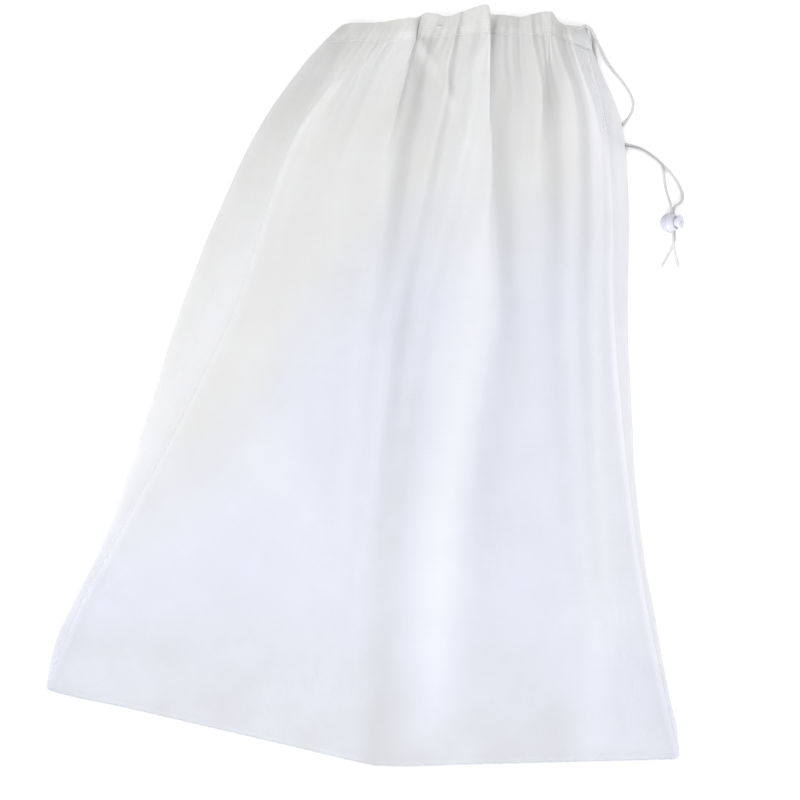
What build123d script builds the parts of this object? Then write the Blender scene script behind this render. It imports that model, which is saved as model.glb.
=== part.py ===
"""Extra large fine-mesh drawstring produce bag, lying on a table with its mouth drawn in.

Frame: the bag lies on the plane z = 0, +Y runs from the bottom hem to the mouth, +X to the right
and +Z up. The origin is under the middle of the bag. All sizes are in millimetres.
"""
import os
from math import cos, degrees, hypot, pi, radians, sin, tan

from build123d import *

# The cloth bag
flat_width = 559.0          # side seam to side seam, laid flat
bag_length = 660.0          # bottom hem to the top of the casing
mouth_width = 223.0         # drawn-in mouth, seam to seam
mouth_shift = 63.0          # how far the mouth's middle lies to the right of the hem's middle
left_corner_rise = 52.0     # bottom left corner above the hem's lowest point
right_corner_rise = 19.5    # bottom right corner above it
hem_bend_x = 16.0           # where the hem hangs lowest
cloth = 1.0                 # mesh panel, as a solid that stands in for the thin knit
seam_allowance = 9.0        # turned-in edge of both panels along each seam
seam_level = 7.0            # underside of the seams above the table
mouth_height = 31.0         # top of the open mouth above the table
crown_height = 42.0         # highest part of the upper panel
crown_reach = 180.0         # where the crown starts to slope down towards the mouth
shoulder_share = 0.19       # first slope of the upper panel, as a share of the half width
crown_share = 0.42          # second slope
shoulder_hem = 44.0         # the same two slopes, measured up from the hem
crown_hem = 118.0
floor_inset = 45.0          # how far in from the seams the lower panel comes down to the table
edge_rows = 6               # points along each side of an outline

# Sideways run of each side edge, as shares that go with the height, its square and its 8th power
left_bow = (0.79, 0.0, 0.21)
right_bow = (1.61, -0.98, 0.37)

# The drawstring casing and its cord
casing_height = 19.0
casing_thickness = 4.6
mouth_shoulder = 30.0       # sloping ends of the mouth, seen from the front
mouth_floor = 45.0          # the flatter slope under them
mouth_radius = 5.0          # bend of the casing at its ends
casing_gap_margin = 1.15    # the casing's cut end stays this far from where its two walls meet
cord_diameter = 2.6
channel_clearance = 0.3
cord_stub = 8.0             # the cord's ends stand this far out of the casing

# Sewing thread
thread_width = 0.8
thread_height = 0.4
seam_gap = 0.5              # between one seam tape and the next at a corner

# The ball cord lock
lock_x = 244.8
lock_y = 154.8
ball_diameter = 17.4
lock_heading = 5.7          # degrees from -Y to the cord hole's direction, towards +X
lock_tilt = 35.0            # the push button points this far up from the table
barrel_face = 6.1           # flat end of the barrel, from the ball's centre
bore_wall = 0.4623          # barrel's thinnest wall, at the bottom corner of its bore
plunger_diameter = 8.8
bore_clearance = 0.1
plunger_end = -3.5
button_travel = 2.4
button_gap = 0.3            # left between button and barrel when pressed home
button_diameter = 11.6
button_height = 2.6
button_edge = 1.1
button_hole = 1.6
button_hole_depth = 1.4
grip_grooves = (-4.6, -2.2, 0.2)
groove_width = 0.7
groove_depth = 0.35
hole_centre = 3.2           # the cord hole, along the button's axis
hole_side_clearance = 0.2
strand_gap = 0.2            # the two strands lie one above the other in the hole
hole_clearance = 0.1
side_by_side_gap = 0.5      # between the two tails where they lie beside each other
spring_radius = 2.1
spring_wire = 0.5
spring_turns = 5
spring_pocket_radius = 2.75
spring_pocket_depth = 2.7
spring_end_gap = 0.1

# Heights and places that follow from them
panel_top = bag_length / 2 - casing_height
hem_low = -bag_length / 2
cord_y = bag_length / 2 - casing_height / 2
rim_top = seam_level + cloth
front_rim = rim_top + cloth
front_rim_top = front_rim + cloth
line_half_width = (mouth_width - casing_thickness) / 2
line_low = casing_thickness / 2
line_high = mouth_height - casing_thickness / 2
line_corner = seam_level + 1.5 * cloth
ball_radius = ball_diameter / 2
cord_radius = cord_diameter / 2
strand_pitch = cord_diameter + strand_gap
hole_width = cord_diameter + 2 * hole_side_clearance
side_by_side = cord_diameter + side_by_side_gap
# The casing stops this far from the right seam, to let the cord out. Nearer, the upper and lower
# walls meet, and the cut leaves a sliver.
wall_drop = line_corner - line_low
casing_gap = casing_thickness / 2 * hypot(mouth_floor, wall_drop) / wall_drop + casing_gap_margin
button_base = barrel_face + button_travel + button_gap
cord_floor = cord_radius    # height of a cord's centre line when it lies on the table


def side_x(side, y):
    """x of a side edge at a height: a mix of three powers of the share of the way to the mouth."""
    rise = left_corner_rise if side < 0 else right_corner_rise
    corner_y = hem_low + rise
    share = (y - corner_y) / (panel_top - corner_y)
    linear, square, eighth = left_bow if side < 0 else right_bow
    run = linear * share + square * share**2 + eighth * share**8
    start = side * flat_width / 2
    end = mouth_shift + side * mouth_width / 2
    return start + (end - start) * run


def hem_y(x):
    """y of the bottom hem: straight from each corner to the low point."""
    if x < hem_bend_x:
        return hem_low + left_corner_rise * (hem_bend_x - x) / (hem_bend_x + flat_width / 2)
    return hem_low + right_corner_rise * (x - hem_bend_x) / (flat_width / 2 - hem_bend_x)


def side_line(side, inset, share=0.0, hem_inset=0.0, top=panel_top):
    """Points of one side edge, bottom to top, moved in by a length and a share of the half width."""
    rise = left_corner_rise if side < 0 else right_corner_rise
    low = hem_low + rise + hem_inset
    points = []
    for row in range(edge_rows):
        y = low + (top - low) * row / (edge_rows - 1)
        half_width = (side_x(1, y) - side_x(-1, y)) / 2
        points.append((side_x(side, y) - side * (inset + share * half_width), y))
    return points


def hem_line(start, end, hem_inset=0.0):
    """Points of the hem between two corners, with the low point and one point each side of it."""
    xs = ((start[0] + hem_bend_x) / 2, hem_bend_x, (hem_bend_x + end[0]) / 2)
    return [start] + [(x, hem_y(x) + hem_inset) for x in xs] + [end]


def bag_outline(inset=0.0, share=0.0, hem_inset=0.0, top=panel_top):
    """Closed outline of the bag in the open sketch: two side edges, the hem and the mouth."""
    left = side_line(-1, inset, share, inset + hem_inset, top)
    right = side_line(1, inset, share, inset + hem_inset, top)
    with BuildLine() as outline:
        Spline(*left)
        Line(left[-1], right[-1])
        Spline(*reversed(right))
        Spline(*reversed(hem_line(left[0], right[0], inset + hem_inset)))
    make_face(outline.edges())


def band(outer, inner):
    """Face between two edges that run the same way."""
    with BuildLine() as edge:
        Spline(*outer)
        Line(outer[-1], inner[-1])
        Spline(*reversed(inner))
        Line(inner[0], outer[0])
    make_face(edge.edges())


def side_band(side, near, far):
    """Strip along a side edge, from one inset to another, above the bottom seam."""
    start = seam_allowance + seam_gap
    band(side_line(side, near, hem_inset=start), side_line(side, far, hem_inset=start))


def hem_band(near, far):
    """Strip along the hem, from one inset to another."""
    rows = []
    for inset in (near, far):
        left = side_line(-1, near, hem_inset=inset)[0]
        right = side_line(1, near, hem_inset=inset)[0]
        rows.append(hem_line(left, right, inset))
    band(*rows)


# Upper panel: a sewn rim, and a low dome that is open at the mouth
with BuildPart() as front_panel:
    with BuildSketch(Plane.XY.offset(front_rim)):
        bag_outline()
    extrude(amount=cloth)
    with BuildSketch(Plane.XY.offset(front_rim_top)):
        bag_outline(seam_allowance)
    with BuildSketch(Plane.XY.offset(mouth_height)):
        bag_outline(seam_allowance, shoulder_share, shoulder_hem)
    with BuildSketch(Plane.XY.offset(crown_height)):
        bag_outline(seam_allowance, crown_share, crown_hem, crown_reach)
    loft(ruled=True)
    with BuildSketch(Plane.XY.offset(front_rim)):
        bag_outline(seam_allowance + cloth, top=panel_top + cloth)
    extrude(amount=cloth, mode=Mode.SUBTRACT)
    with BuildSketch(Plane.XY.offset(front_rim_top)):
        bag_outline(seam_allowance + cloth, top=panel_top + cloth)
    with BuildSketch(Plane.XY.offset(mouth_height - cloth)):
        bag_outline(seam_allowance + cloth, shoulder_share, shoulder_hem, panel_top + cloth)
    with BuildSketch(Plane.XY.offset(crown_height - cloth)):
        bag_outline(seam_allowance + cloth, crown_share, crown_hem, crown_reach)
    loft(ruled=True, mode=Mode.SUBTRACT)
front_panel.part.label = "front_panel"

# Lower panel: the same rim, and a shallow tray that rests on the table
with BuildPart() as back_panel:
    with BuildSketch(Plane.XY.offset(seam_level)):
        bag_outline()
    extrude(amount=cloth)
    with BuildSketch(Plane.XY.offset(seam_level)):
        bag_outline(seam_allowance)
    with BuildSketch(Plane.XY):
        bag_outline(seam_allowance + floor_inset)
    loft(ruled=True)
    with BuildSketch(Plane.XY.offset(seam_level)):
        bag_outline(seam_allowance + cloth, top=panel_top + cloth)
    extrude(amount=cloth, mode=Mode.SUBTRACT)
    with BuildSketch(Plane.XY.offset(seam_level)):
        bag_outline(seam_allowance + cloth, top=panel_top + cloth)
    with BuildSketch(Plane.XY.offset(cloth)):
        bag_outline(seam_allowance + floor_inset, top=panel_top + cloth)
    loft(ruled=True, mode=Mode.SUBTRACT)
back_panel.part.label = "back_panel"

# Seam allowances, between the two panels' rims
with BuildPart() as left_side_seam:
    with BuildSketch(Plane.XY.offset(rim_top)):
        side_band(-1, 0.0, seam_allowance)
    extrude(amount=cloth)
left_side_seam.part.label = "left_side_seam"

with BuildPart() as right_side_seam:
    with BuildSketch(Plane.XY.offset(rim_top)):
        side_band(1, 0.0, seam_allowance)
    extrude(amount=cloth)
right_side_seam.part.label = "right_side_seam"

with BuildPart() as bottom_seam:
    with BuildSketch(Plane.XY.offset(rim_top)):
        hem_band(0.0, seam_allowance)
    extrude(amount=cloth)
bottom_seam.part.label = "bottom_seam"

# Sewing thread, on the upper rim over the middle of each seam
thread_near = (seam_allowance - thread_width) / 2
thread_far = thread_near + thread_width

with BuildPart() as left_seam_thread:
    with BuildSketch(Plane.XY.offset(front_rim_top)):
        side_band(-1, thread_near, thread_far)
    extrude(amount=thread_height)
left_seam_thread.part.label = "left_seam_thread"

with BuildPart() as right_seam_thread:
    with BuildSketch(Plane.XY.offset(front_rim_top)):
        side_band(1, thread_near, thread_far)
    extrude(amount=thread_height)
right_seam_thread.part.label = "right_seam_thread"

with BuildPart() as bottom_seam_thread:
    with BuildSketch(Plane.XY.offset(front_rim_top)):
        hem_band(thread_near, thread_far)
    extrude(amount=thread_height)
bottom_seam_thread.part.label = "bottom_seam_thread"

# Casing: a flattened ring round the mouth, in a plane whose y is the bag's height
mouth_plane = Plane(origin=(mouth_shift, bag_length / 2, 0), x_dir=(1, 0, 0), z_dir=(0, -1, 0))
stitch_plane = mouth_plane.offset(casing_height - 2 * thread_width)
mouth_corners = (
    (line_half_width, line_corner),
    (line_half_width - mouth_shoulder, line_high),
    (-line_half_width + mouth_shoulder, line_high),
    (-line_half_width, line_corner),
    (-line_half_width + mouth_floor, line_low),
    (line_half_width - mouth_floor, line_low),
)


def mouth_profile(grow):
    """The casing's middle line as a closed face, grown or shrunk."""
    with BuildLine() as middle:
        FilletPolyline(*mouth_corners, radius=mouth_radius, close=True)
    make_face(middle.edges())
    offset(amount=grow, mode=Mode.REPLACE)


def share_point(start, end, x):
    """Height of the straight line between two corners at x."""
    return start[1] + (end[1] - start[1]) * (x - start[0]) / (end[0] - start[0])


def casing_tube(radius, end_x):
    """Round tube along the casing's middle line, from its upper right end round to its lower one."""
    right, high_right, high_left, left, low_left, low_right = mouth_corners
    upper_end = (end_x, share_point(right, high_right, end_x))
    lower_end = (end_x, share_point(right, low_right, end_x))
    flat_points = (upper_end, high_right, high_left, left, low_left, low_right, lower_end)
    with BuildPart() as tube:
        with BuildLine() as path:
            FilletPolyline(*[(mouth_shift + x, cord_y, z) for x, z in flat_points], radius=mouth_radius)
        with BuildSketch(Plane(origin=path.line @ 0, z_dir=path.line % 0)):
            Circle(radius)
        sweep()
    return tube.part


channel = casing_tube(cord_radius + channel_clearance, line_half_width - 1.0)
half_plane_size = 2 * (mouth_width + mouth_height)


def casing_half(upper):
    """One half of the casing ring, above or below the seams, open at the right end."""
    keep = 1 if upper else -1
    with BuildPart() as half:
        with BuildSketch(mouth_plane):
            mouth_profile(casing_thickness / 2)
        extrude(amount=casing_height)
        with BuildSketch(mouth_plane):
            mouth_profile(-casing_thickness / 2)
        extrude(amount=casing_height, mode=Mode.SUBTRACT)
        with BuildSketch(mouth_plane):
            with Locations((0, line_corner - keep * half_plane_size / 2)):
                Rectangle(half_plane_size, half_plane_size)
        extrude(amount=casing_height, mode=Mode.SUBTRACT)
        with BuildSketch(mouth_plane):
            with Locations((line_half_width - casing_gap, line_corner)):
                Rectangle(half_plane_size, half_plane_size, align=(Align.MIN, Align.CENTER))
        extrude(amount=casing_height, mode=Mode.SUBTRACT)
        add(channel, mode=Mode.SUBTRACT)
    return half.part


with BuildPart() as front_casing:
    add(casing_half(True))
front_casing.part.label = "front_casing"

with BuildPart() as back_casing:
    add(casing_half(False))
back_casing.part.label = "back_casing"


def casing_thread_half(upper):
    """Stitch line round half the mouth: on top of the upper casing, inside the lower one."""
    keep = 1 if upper else -1
    middle = casing_thickness / 2
    outer = middle + thread_height if upper else -middle
    inner = middle if upper else -middle - thread_height
    with BuildPart() as half:
        with BuildSketch(stitch_plane):
            mouth_profile(outer)
        extrude(amount=thread_width)
        with BuildSketch(stitch_plane):
            mouth_profile(inner)
        extrude(amount=thread_width, mode=Mode.SUBTRACT)
        with BuildSketch(stitch_plane):
            with Locations((0, line_corner - keep * half_plane_size / 2)):
                Rectangle(half_plane_size, half_plane_size)
        extrude(amount=thread_width, mode=Mode.SUBTRACT)
        with BuildSketch(stitch_plane):
            with Locations((line_half_width - casing_gap, line_corner)):
                Rectangle(half_plane_size, half_plane_size, align=(Align.MIN, Align.CENTER))
        extrude(amount=thread_width, mode=Mode.SUBTRACT)
    return half.part


with BuildPart() as front_casing_thread:
    add(casing_thread_half(True))
front_casing_thread.part.label = "front_casing_thread"

with BuildPart() as back_casing_thread:
    add(casing_thread_half(False))
back_casing_thread.part.label = "back_casing_thread"

# The stretch of the drawcord that lies in the casing
cord_end_x = line_half_width - casing_gap + cord_stub
with BuildPart() as drawcord:
    add(casing_tube(cord_radius, cord_end_x))
drawcord.part.label = "drawcord"

# Cord lock: the button's axis, the cord hole's direction and the direction across both
hole_dir = Vector(sin(radians(lock_heading)), -cos(radians(lock_heading)), 0)
level_dir = Vector(cos(radians(lock_heading)), sin(radians(lock_heading)), 0)
button_dir = level_dir * cos(radians(lock_tilt)) + Vector(0, 0, sin(radians(lock_tilt)))
stack_dir = level_dir * -sin(radians(lock_tilt)) + Vector(0, 0, cos(radians(lock_tilt)))
lock_centre = Vector(lock_x, lock_y, ball_radius)
button_axis = Axis(tuple(lock_centre), tuple(button_dir))
# Sketch plane through the button's axis: x along the axis, y across it
axial_plane = Plane(origin=tuple(lock_centre), x_dir=tuple(button_dir), z_dir=tuple(hole_dir))
bore_radius = plunger_diameter / 2 + bore_clearance
barrel_bottom = -(((ball_radius - bore_wall) ** 2 - bore_radius**2) ** 0.5)
hole_length = strand_pitch + cord_diameter + 2 * hole_clearance
plunger_slot_start = hole_centre - cord_radius - hole_clearance
plunger_slot_end = hole_centre + cord_radius + hole_clearance + button_travel

with BuildPart() as cord_lock_barrel:
    with BuildSketch(axial_plane):
        Circle(ball_radius)
        with Locations((0, -ball_radius)):
            Rectangle(ball_diameter, ball_diameter, mode=Mode.SUBTRACT)
        with Locations((barrel_face, 0)):
            Rectangle(ball_diameter, ball_diameter, align=(Align.MIN, Align.MIN), mode=Mode.SUBTRACT)
        with Locations((barrel_bottom, 0)):
            Rectangle(ball_diameter, bore_radius, align=(Align.MIN, Align.MIN), mode=Mode.SUBTRACT)
        for groove in grip_grooves:
            groove_floor = (ball_radius**2 - groove**2) ** 0.5 - groove_depth
            with Locations((groove, groove_floor)):
                Rectangle(groove_width, ball_diameter, align=(Align.CENTER, Align.MIN), mode=Mode.SUBTRACT)
    revolve(axis=button_axis)
    with BuildSketch(axial_plane):
        with Locations((hole_centre, 0)):
            SlotOverall(hole_length, hole_width, rotation=90)
    extrude(amount=ball_diameter, both=True, mode=Mode.SUBTRACT)
cord_lock_barrel.part.label = "cord_lock_barrel"

with BuildPart() as cord_lock_plunger:
    with BuildSketch(axial_plane):
        with Locations((plunger_end, 0)):
            Rectangle(button_base - plunger_end, plunger_diameter / 2, align=(Align.MIN, Align.MIN))
        with BuildLine():
            FilletPolyline(
                (button_base, 0),
                (button_base, button_diameter / 2),
                (button_base + button_height, button_diameter / 2),
                (button_base + button_height, 0),
                radius=button_edge,
            )
            Line((button_base + button_height, 0), (button_base, 0))
        make_face()
        with Locations((button_base + button_height - button_hole_depth, 0)):
            Rectangle(button_height, button_hole / 2, align=(Align.MIN, Align.MIN), mode=Mode.SUBTRACT)
        with Locations((plunger_end, 0)):
            Rectangle(
                spring_pocket_depth, spring_pocket_radius, align=(Align.MIN, Align.MIN), mode=Mode.SUBTRACT
            )
    revolve(axis=button_axis)
    with BuildSketch(axial_plane):
        with Locations(((plunger_slot_start + plunger_slot_end) / 2, 0)):
            RectangleRounded(plunger_slot_end - plunger_slot_start, hole_length, cord_radius)
    extrude(amount=ball_diameter, both=True, mode=Mode.SUBTRACT)
cord_lock_plunger.part.label = "cord_lock_plunger"

# Compression spring between the barrel's bottom and the plunger's pocket
spring_start = barrel_bottom + spring_end_gap + spring_wire / 2
spring_stop = plunger_end + spring_pocket_depth - spring_end_gap - spring_wire / 2
spring_length = spring_stop - spring_start
spring_origin = lock_centre + button_dir * spring_start
with BuildPart() as cord_lock_spring:
    with BuildLine() as coil:
        Helix(
            pitch=spring_length / spring_turns,
            height=spring_length,
            radius=spring_radius,
            center=tuple(spring_origin),
            direction=tuple(button_dir),
        )
    with BuildSketch(Plane(origin=coil.line @ 0, z_dir=coil.line % 0)):
        Circle(spring_wire / 2)
    sweep(is_frenet=True)
cord_lock_spring.part.label = "cord_lock_spring"


# Free ends of the cord. Their routes are chosen points, from the casing through the lock.
def lock_point(stack, along):
    """A point in the cord hole: which strand, and how far above the lock's centre."""
    offset_in_hole = button_dir * hole_centre + stack_dir * stack - hole_dir * along
    return tuple(lock_centre + offset_in_hole)


def casing_exit(neighbour, beyond=0.0):
    """A point on the cord's straight way out of the casing, in line with one of its slopes."""
    end_x = cord_end_x + beyond
    return (mouth_shift + end_x, cord_y, share_point(mouth_corners[0], neighbour, end_x))


front_route = [
    casing_exit(mouth_corners[1]),
    casing_exit(mouth_corners[1], 5.0),
    (174.0, 317.5, 8.6),
    (180.5, 306.5, 4.4),
    (188.0, 291.0, cord_floor),
    (204.5, 270.5, cord_floor),
    (209.8, 257.0, cord_floor),
    (206.7, 245.1, cord_floor),
    (196.6, 234.0, cord_floor),
    (196.6, 226.5, cord_floor),
    (201.5, 221.4, cord_floor),
    (215.5, 220.1, cord_floor),
    (231.0, 210.9, cord_floor),
    (245.5, 197.3, cord_floor),
    (254.6, 184.5, cord_floor),
    (256.6, 173.5, 3.6),
    lock_point(-strand_pitch / 2, 11.0),
    lock_point(-strand_pitch / 2, -14.5),
    (245.8, 128.5, 3.0),
    (240.4, 116.3, cord_floor),
]
back_route = [
    casing_exit(mouth_corners[5]),
    casing_exit(mouth_corners[5], 5.0),
    (170.5, 313.5, 4.6),
    (172.5, 301.0, 1.6),
    (175.8, 288.0, cord_floor),
    (183.5, 268.5, cord_floor),
    (190.0, 249.0, cord_floor),
    (190.5, 231.0, cord_floor),
    (194.5, 222.6 - side_by_side, cord_floor),
    (215.5 - 0.29 * side_by_side, 220.1 - 0.957 * side_by_side, cord_floor),
    (231.0 - 0.6 * side_by_side, 210.9 - 0.8 * side_by_side, cord_floor),
    (238.0 - 0.68 * side_by_side, 204.3 - 0.73 * side_by_side, cord_floor),
    (239.6, 186.5, 1.8),
    lock_point(strand_pitch / 2, 11.0),
    lock_point(strand_pitch / 2, -17.5),
    (251.3, 128.5, 5.5),
    (254.9, 116.6, cord_floor),
]
lock_bend = 5.5             # tightest arc, where a strand turns into the lock


def route_radii(route):
    """Arc at each inner point: 0.45 of its shorter run over the tangent of half the turn."""
    radii = []
    for before, here, after in zip(route, route[1:], route[2:]):
        into = Vector(*here) - Vector(*before)
        out = Vector(*after) - Vector(*here)
        turn = radians(into.get_angle(out))
        radius = 0.45 * min(into.length, out.length) / tan(turn / 2)
        beside_lock = (Vector(*here) - lock_centre).length < 2.2 * ball_radius
        radii.append(min(radius, lock_bend) if beside_lock else radius)
    return radii


def cord_tail(name, route):
    """Round tube of straight runs and tangent arcs along a route."""
    radii = route_radii(route)
    with BuildPart() as tail:
        with BuildLine() as path:
            FilletPolyline(*route, radius=radii)
        with BuildSketch(Plane(origin=path.line @ 0, z_dir=path.line % 0)):
            Circle(cord_radius)
        sweep()
    tail.part.label = name
    length = sum(edge.length for edge in path.line.edges())
    filling = tail.part.volume / (pi * cord_radius**2 * length)
    print(name, "length", round(length, 1), "volume / (section x length)", round(filling, 4))
    print("  radii", [round(radius, 1) for radius in radii])
    return tail


front_cord_tail = cord_tail("front_cord_tail", front_route)
back_cord_tail = cord_tail("back_cord_tail", back_route)

os.makedirs("parts", exist_ok=True)
pieces = (
    front_panel, back_panel, left_side_seam, right_side_seam, bottom_seam,
    left_seam_thread, right_seam_thread, bottom_seam_thread,
    front_casing, back_casing, front_casing_thread, back_casing_thread, drawcord,
    cord_lock_barrel, cord_lock_plunger, cord_lock_spring, front_cord_tail, back_cord_tail,
)
for piece in pieces:
    export_step(piece.part, f"parts/{piece.part.label}.step")
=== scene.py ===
import math

import bpy
import numpy as np
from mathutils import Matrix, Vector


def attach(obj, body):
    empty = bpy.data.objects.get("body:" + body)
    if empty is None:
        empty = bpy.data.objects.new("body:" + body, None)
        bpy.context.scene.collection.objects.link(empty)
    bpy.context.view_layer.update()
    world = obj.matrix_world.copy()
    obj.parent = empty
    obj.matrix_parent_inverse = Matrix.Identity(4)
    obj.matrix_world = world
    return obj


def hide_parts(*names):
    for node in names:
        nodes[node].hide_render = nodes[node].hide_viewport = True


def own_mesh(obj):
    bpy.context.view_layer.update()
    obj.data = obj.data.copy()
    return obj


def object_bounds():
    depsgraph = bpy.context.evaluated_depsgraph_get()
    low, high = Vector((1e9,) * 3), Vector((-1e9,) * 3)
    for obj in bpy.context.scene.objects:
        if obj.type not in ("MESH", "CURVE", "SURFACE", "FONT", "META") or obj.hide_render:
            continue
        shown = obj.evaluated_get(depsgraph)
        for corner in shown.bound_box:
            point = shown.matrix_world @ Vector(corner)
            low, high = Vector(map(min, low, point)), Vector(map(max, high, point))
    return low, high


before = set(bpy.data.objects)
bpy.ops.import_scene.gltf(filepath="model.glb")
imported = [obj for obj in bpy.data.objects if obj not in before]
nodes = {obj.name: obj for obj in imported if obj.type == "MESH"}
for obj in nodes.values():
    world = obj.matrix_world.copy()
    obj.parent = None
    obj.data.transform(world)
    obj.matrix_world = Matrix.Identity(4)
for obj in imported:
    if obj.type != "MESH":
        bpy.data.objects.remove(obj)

mm = 0.001  # lengths below are in millimetres, and Blender's are in metres
scene = bpy.context.scene
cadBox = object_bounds()
bagMiddle = (cadBox[0] + cadBox[1]) / 2


# camera, first, because the cords are measured against its view
overhead = dict(
    height=1.9,  # above the table, in metres
    field=0.696,  # width of table in view, in metres
    turn=2.9,  # the bag lies a little turned, in degrees
    aside=(0.0192, -0.01005),  # from the middle of the bag, in metres
)
lens = bpy.data.cameras.new("overheadLens")
lens.sensor_width = 36
lens.lens = lens.sensor_width * overhead["height"] / overhead["field"]
lens.clip_end = 20
overheadCamera = bpy.data.objects.new("overheadCamera", lens)
overheadCamera.location = (
    bagMiddle.x + overhead["aside"][0],
    bagMiddle.y + overhead["aside"][1],
    overhead["height"],
)
overheadCamera.rotation_euler = (0, 0, math.radians(overhead["turn"]))
scene.collection.objects.link(overheadCamera)
scene.camera = overheadCamera
print("camera placed")


def ramp(t):
    # an S from 0 to 1: 3t² - 2t³, level at both ends
    t = np.clip(t, 0, 1)
    return t * t * (3 - 2 * t)


def bell(d, left, right):
    # 1 at d = 0, falling as exp(-d²) with its own width on each side, so one flank can be steep
    return np.exp(-((d / np.where(d < 0, left, right)) ** 2))


def smoothLine(points, at):
    # a cubic between each two points, its slope at a point being the harmonic mean of the two chords
    # there, and level where they go opposite ways, so it never overshoots
    knots, values = np.array(points, float).T
    chord = np.diff(values) / np.diff(knots)
    before, after = chord[:-1], chord[1:]
    total = np.where(before * after > 0, before + after, 1)
    both = np.where(before * after > 0, 2 * before * after / total, 0)
    slope = np.r_[chord[0], both, chord[-1]]
    at = np.clip(at, knots[0], knots[-1])
    i = np.clip(np.searchsorted(knots, at) - 1, 0, len(knots) - 2)
    gap = knots[i + 1] - knots[i]
    t = (at - knots[i]) / gap
    near = values[i] * (1 + 2 * t) + slope[i] * gap * t
    far = values[i + 1] * (3 - 2 * t) + slope[i + 1] * gap * (t - 1)
    return near * (1 - t) ** 2 + far * t ** 2


def gridFaces(rows, columns, closedRows=False, closedColumns=False, turned=False):
    # one four-sided face for each square of the grid, wrapped where a direction closes on itself
    i = np.arange(rows if closedRows else rows - 1)[:, None]
    j = np.arange(columns if closedColumns else columns - 1)[None, :]
    below, above = i * columns, (i + 1) % rows * columns
    after = (j + 1) % columns
    corners = [below + j, below + after, above + after, above + j]
    faces = np.stack([np.broadcast_to(c, (i.size, j.size)).ravel() for c in corners], axis=1)
    return faces[:, ::-1] if turned else faces


def makeMesh(name, points, faces, uv=None, looks=None):
    # points in millimetres, one row each; uv has one row for each point, and so has looks, whose two
    # columns are how the cloth is gathered, with painted shade and painted highlight added, and how slack
    # it hangs, with painted shade added
    mesh = bpy.data.meshes.new(name)
    mesh.from_pydata((np.asarray(points) * mm).tolist(), [], [list(f) for f in faces])
    mesh.polygons.foreach_set("use_smooth", np.ones(len(mesh.polygons), bool))
    if uv is not None:
        corner = np.empty(len(mesh.loops), int)
        mesh.loops.foreach_get("vertex_index", corner)
        mesh.uv_layers.new(name="cloth").data.foreach_set("uv", np.asarray(uv)[corner].ravel())
    if looks is not None:
        for k, look in enumerate(("gatherAndPaintedLight", "slackAndPaintedShade")):
            layer = mesh.attributes.new(look, "FLOAT", "POINT")
            layer.data.foreach_set("value", np.asarray(looks, float).reshape(-1, 2)[:, k])
    mesh.update()
    obj = bpy.data.objects.new(name, mesh)
    scene.collection.objects.link(obj)
    return obj


def linearColour(hexCode):
    # sRGB hex to Blender's linear colour
    parts = [int(hexCode[k : k + 2], 16) / 255 for k in (1, 3, 5)]
    return [c / 12.92 if c <= 0.04045 else ((c + 0.055) / 1.055) ** 2.4 for c in parts] + [1]


def addNode(material, kind, settings=None, **inputs):
    # adds a node; settings are its own properties, inputs are values or other nodes' outputs, each named
    # by its socket, or i0, i1 and so on where the socket's place says which it is
    node = material.node_tree.nodes.new(kind)
    for key, value in (settings or {}).items():
        setattr(node, key, value)
    for key, value in inputs.items():
        numbered = key[0] == "i" and key[1:].isdigit()
        socket = node.inputs[int(key[1:]) if numbered else key.replace("_", " ")]
        if isinstance(value, bpy.types.NodeSocket):
            material.node_tree.links.new(value, socket)
        elif isinstance(value, str):
            socket.default_value = linearColour(value)
        else:
            socket.default_value = value
    return node


def newMaterial(name):
    material = bpy.data.materials.new(name)
    material.use_nodes = True
    material.node_tree.nodes.clear()
    return material


def surface(material, shader):
    addNode(material, "ShaderNodeOutputMaterial", Surface=shader)
    return material


meshCloth = dict(
    shade="#b9b9b8",  # painted shade, with closer cloth: the closest gathers, the turned-under sides and the folds' valleys
    crest="#ececef",  # painted highlight on the crests of folds, where they catch the light
    low="#d8dae5",  # cloth that lies flat, cool white
    high="#d7d7d5",  # slack cloth, where the layers lie close and grey each other, with painted shade where it tilts away from the light
    cover=0.62,  # how much of the flat cloth is thread
    coverGathered=0.84,
    slackCover=0.65,  # how much nearer to gathered the cover comes where the cloth hangs slack
    uneven=0.09,  # slow wandering of the tone, either way
    thread=1.7,  # millimetres; the real mesh, a guess of 0.5 mm, is too fine to show, so drawn coarse
    weaveDepth=0.04,
    relief=0.0004,  # metres
    glow=0.3,  # share of the light that passes through the threads
    roughness=0.78,
    ior=1.5,
    sheen=0.15,
)


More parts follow.
